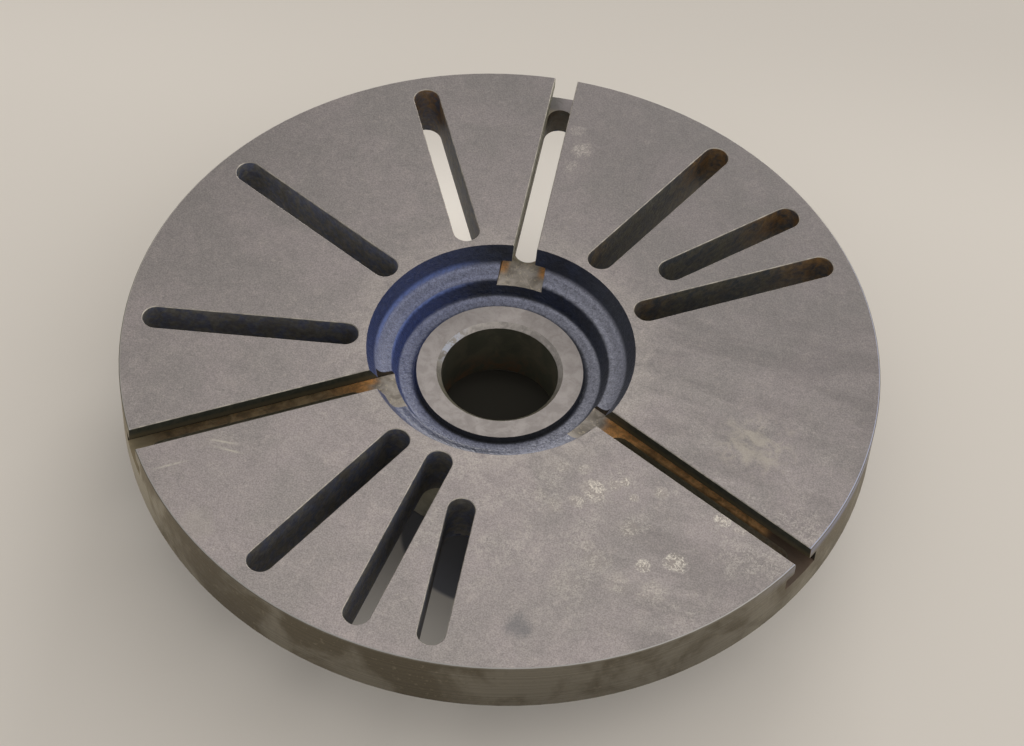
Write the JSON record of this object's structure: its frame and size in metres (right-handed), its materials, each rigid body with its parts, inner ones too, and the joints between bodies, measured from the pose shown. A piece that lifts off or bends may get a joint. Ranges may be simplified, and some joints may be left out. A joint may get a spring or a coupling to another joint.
{
  "type": "lathe faceplate",
  "caption": "Round cast iron lathe faceplate with radial T-slots and bolt slots, a painted centre recess and a bored hub.",
  "frame": {"origin": "centre of the hub's seating face, on the spindle axis", "axes": "+Z along the spindle axis towards the working face, +Y along the first T-slot"},
  "size_m": [0.4, 0.4, 0.073],
  "materials": {
    "casting": "machined front, rim and bore, worn and lightly rusted; recess as cast and painted dark blue"
  },
  "bodies": {
    "root": {"faceplate": "casting"}
  },
  "joints": []
}
